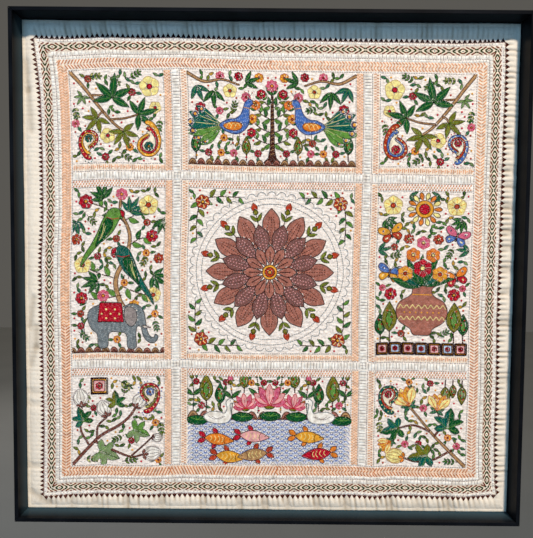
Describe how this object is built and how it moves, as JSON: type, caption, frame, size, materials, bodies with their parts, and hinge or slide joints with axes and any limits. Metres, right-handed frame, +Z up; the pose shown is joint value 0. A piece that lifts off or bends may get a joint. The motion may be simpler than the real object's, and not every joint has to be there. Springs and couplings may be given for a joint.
{
  "type": "nakshi kantha in a box frame",
  "caption": "Quilted and embroidered cotton wall cloth with puckered plain margins, stretched inside a deep thin-walled black square box frame, for hanging on a wall.",
  "frame": {"origin": "middle of the back panel's back face, which lies against the wall", "axes": "+Y into the wall, +X to the viewer's right, +Z up; the front faces -Y"},
  "size_m": [1.2, 0.057, 1.2],
  "materials": {
    "cloth": "matt quilted cotton covered in rows of running stitch",
    "black_paint": "satin black paint on wood",
    "panel_board": "plain board, matt"
  },
  "bodies": {
    "root": {"kantha": "cloth", "rail_top": "black_paint", "rail_right": "black_paint", "rail_bottom": "black_paint", "rail_left": "black_paint", "back_panel": "panel_board"}
  },
  "joints": []
}
